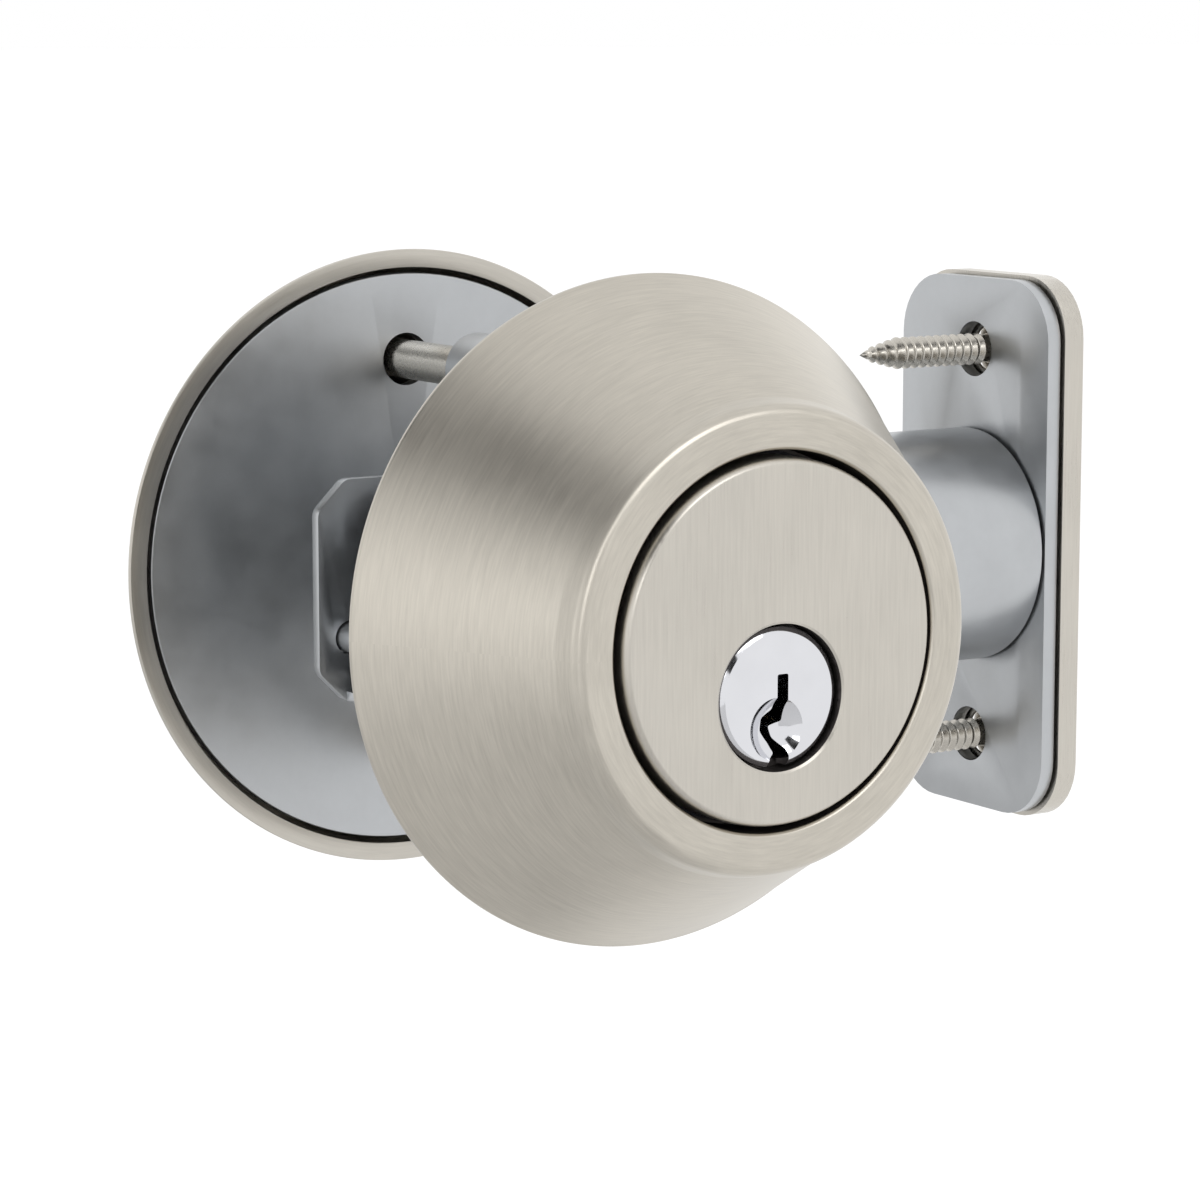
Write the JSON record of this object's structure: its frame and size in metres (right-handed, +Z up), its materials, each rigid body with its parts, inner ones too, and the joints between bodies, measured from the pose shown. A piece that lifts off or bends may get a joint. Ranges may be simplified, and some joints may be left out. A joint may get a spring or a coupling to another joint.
{
  "type": "deadbolt door lock",
  "caption": "Round single-cylinder deadbolt with a tapered spinning guard collar, keyed plug, tubular bolt case and inside turn piece, as fitted through a door.",
  "frame": {"origin": "centre of the guard collar's rim, on the outside face of the door", "axes": "+X towards the door edge that the bolt leaves, +Y through the door to the inside, +Z up"},
  "size_m": [0.0926, 0.0951, 0.0636],
  "materials": {
    "satin_nickel": "satin nickel plate, brushed",
    "polished_chrome": "polished chrome plate",
    "brass": "turned brass",
    "zinc_steel": "zinc plated steel",
    "spring_steel": "spring steel, bright",
    "hard_steel": "hardened steel, dark",
    "nylon": "natural nylon"
  },
  "bodies": {
    "case": {"wave_washer": "spring_steel", "cylinder_body": "satin_nickel", "chamber_cap": "brass", "pin_spring_1": "spring_steel", "pin_spring_2": "spring_steel", "pin_spring_3": "spring_steel", "pin_spring_4": "spring_steel", "pin_spring_5": "spring_steel", "post_plate": "zinc_steel", "post_upper": "zinc_steel", "post_lower": "zinc_steel", "cylinder_screw_left": "zinc_steel", "cylinder_screw_right": "zinc_steel", "faceplate": "satin_nickel", "backing_plate": "zinc_steel", "case_tube": "zinc_steel", "case_plate_outer": "zinc_steel", "case_plate_inner": "zinc_steel", "case_rivet_1": "zinc_steel", "case_rivet_2": "zinc_steel", "detent_leaf": "spring_steel", "face_screw_upper": "satin_nickel", "face_screw_lower": "satin_nickel", "inside_plate": "zinc_steel", "inner_rose": "satin_nickel", "turn_washer": "nylon", "through_screw_upper": "satin_nickel", "through_screw_lower": "satin_nickel"},
    "collar": {"guard_collar": "satin_nickel"},
    "keyed_plug": {"plug": "polished_chrome", "plug_retainer": "brass", "retainer_screw_1": "zinc_steel", "retainer_screw_2": "zinc_steel"},
    "spindle": {"tailpiece": "zinc_steel", "crank": "zinc_steel", "turn_piece": "satin_nickel", "turn_clip": "spring_steel"},
    "bolt": {"bolt": "satin_nickel", "tail_bar": "zinc_steel", "drive_pin": "hard_steel", "tail_rivet_1": "hard_steel", "tail_rivet_2": "hard_steel"},
    "roller": {"roller_pin": "hard_steel"},
    "driver_1": {"driver_pin_1": "brass"},
    "key_1": {"key_pin_1": "brass"},
    "driver_2": {"driver_pin_2": "brass"},
    "key_2": {"key_pin_2": "brass"},
    "driver_3": {"driver_pin_3": "brass"},
    "key_3": {"key_pin_3": "brass"},
    "driver_4": {"driver_pin_4": "brass"},
    "key_4": {"key_pin_4": "brass"},
    "driver_5": {"driver_pin_5": "brass"},
    "key_5": {"key_pin_5": "brass"}
  },
  "joints": [
    {"name": "collar_spin", "type": "hinge", "parent": "case", "child": "collar", "pos_m": [0, 0, 0], "axis": [0, 1, 0], "continuous": true},
    {"name": "turn", "type": "hinge", "parent": "case", "child": "spindle", "pos_m": [0, 0, -0.0049], "axis": [0, 1, 0], "range_deg": [0, 90], "deforming": ["detent_leaf"]},
    {"name": "bolt_throw", "type": "slide", "parent": "case", "child": "bolt", "axis": [1, 0, 0], "range_m": [0, 0.0254]},
    {"name": "plug_turn", "type": "hinge", "parent": "case", "child": "keyed_plug", "pos_m": [0, 0, -0.0049], "axis": [0, 1, 0], "range_deg": [0, 90]},
    {"name": "roller_spin", "type": "hinge", "parent": "bolt", "child": "roller", "pos_m": [0.04, 0.02223, -0.0046], "axis": [1, 0, 0], "continuous": true},
    {"name": "driver_lift_1", "type": "slide", "parent": "case", "child": "driver_1", "axis": [0, 0, 1], "range_m": [-0.0022, 0], "stiffness_N_per_m": 60, "springref_m": -0.006, "deforming": ["pin_spring_1"]},
    {"name": "driver_lift_2", "type": "slide", "parent": "case", "child": "driver_2", "axis": [0, 0, 1], "range_m": [-0.0014, 0], "stiffness_N_per_m": 60, "springref_m": -0.006, "deforming": ["pin_spring_2"]},
    {"name": "driver_lift_3", "type": "slide", "parent": "case", "child": "driver_3", "axis": [0, 0, 1], "range_m": [-0.0026, 0], "stiffness_N_per_m": 60, "springref_m": -0.006, "deforming": ["pin_spring_3"]},
    {"name": "driver_lift_4", "type": "slide", "parent": "case", "child": "driver_4", "axis": [0, 0, 1], "range_m": [-0.001, 0], "stiffness_N_per_m": 60, "springref_m": -0.006, "deforming": ["pin_spring_4"]},
    {"name": "driver_lift_5", "type": "slide", "parent": "case", "child": "driver_5", "axis": [0, 0, 1], "range_m": [-0.0018, 0], "stiffness_N_per_m": 60, "springref_m": -0.006, "deforming": ["pin_spring_5"]},
    {"name": "key_lift_1", "type": "slide", "parent": "keyed_plug", "child": "key_1", "axis": [0, 0, 1], "range_m": [-0.0022, 0]},
    {"name": "key_lift_2", "type": "slide", "parent": "keyed_plug", "child": "key_2", "axis": [0, 0, 1], "range_m": [-0.0014, 0]},
    {"name": "key_lift_3", "type": "slide", "parent": "keyed_plug", "child": "key_3", "axis": [0, 0, 1], "range_m": [-0.0026, 0]},
    {"name": "key_lift_4", "type": "slide", "parent": "keyed_plug", "child": "key_4", "axis": [0, 0, 1], "range_m": [-0.001, 0]},
    {"name": "key_lift_5", "type": "slide", "parent": "keyed_plug", "child": "key_5", "axis": [0, 0, 1], "range_m": [-0.0018, 0]}
  ],
  "couplings": [
    {"joint": "turn", "follows": "bolt_throw", "rad_per_m": 61.842},
    {"joint": "plug_turn", "follows": "bolt_throw", "rad_per_m": 61.842},
    {"joint": "key_lift_1", "follows": "driver_lift_1", "ratio": 1},
    {"joint": "key_lift_2", "follows": "driver_lift_2", "ratio": 1},
    {"joint": "key_lift_3", "follows": "driver_lift_3", "ratio": 1},
    {"joint": "key_lift_4", "follows": "driver_lift_4", "ratio": 1},
    {"joint": "key_lift_5", "follows": "driver_lift_5", "ratio": 1}
  ]
}
